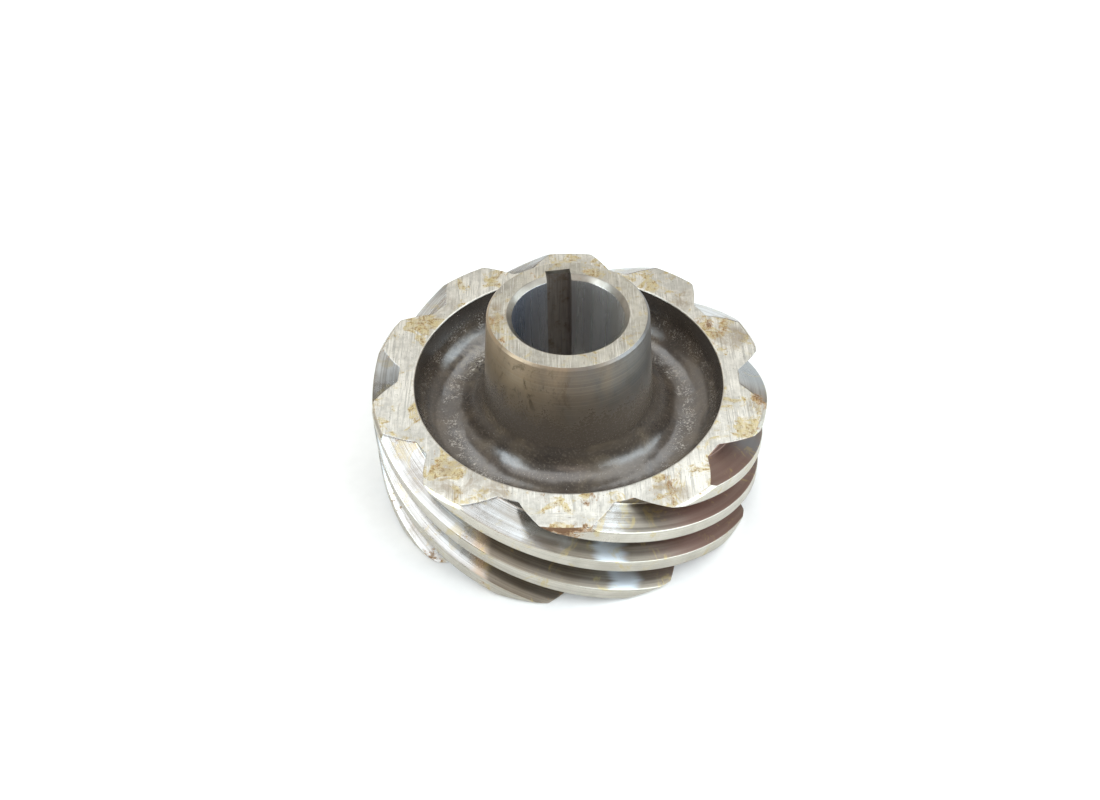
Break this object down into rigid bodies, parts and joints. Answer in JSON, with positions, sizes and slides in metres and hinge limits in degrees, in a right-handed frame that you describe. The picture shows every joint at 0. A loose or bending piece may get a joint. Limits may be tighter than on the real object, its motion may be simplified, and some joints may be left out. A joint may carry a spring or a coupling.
{
  "type": "worm gear",
  "caption": "Keyed steel worm-type gear with steep left-hand helical teeth, a deep round recess and a raised hub on one side.",
  "frame": {"origin": "centre of the bore in the plane of the underside", "axes": "+Z along the bore axis from the underside towards the raised hub; the keyway lies 98 degrees from +X"},
  "size_m": [0.081, 0.081, 0.0405],
  "materials": {
    "gear_steel": "ground end faces and bright tooth lands, dark oiled flanks and forged recess, light surface rust"
  },
  "bodies": {
    "root": {"worm_gear": "gear_steel"}
  },
  "joints": []
}
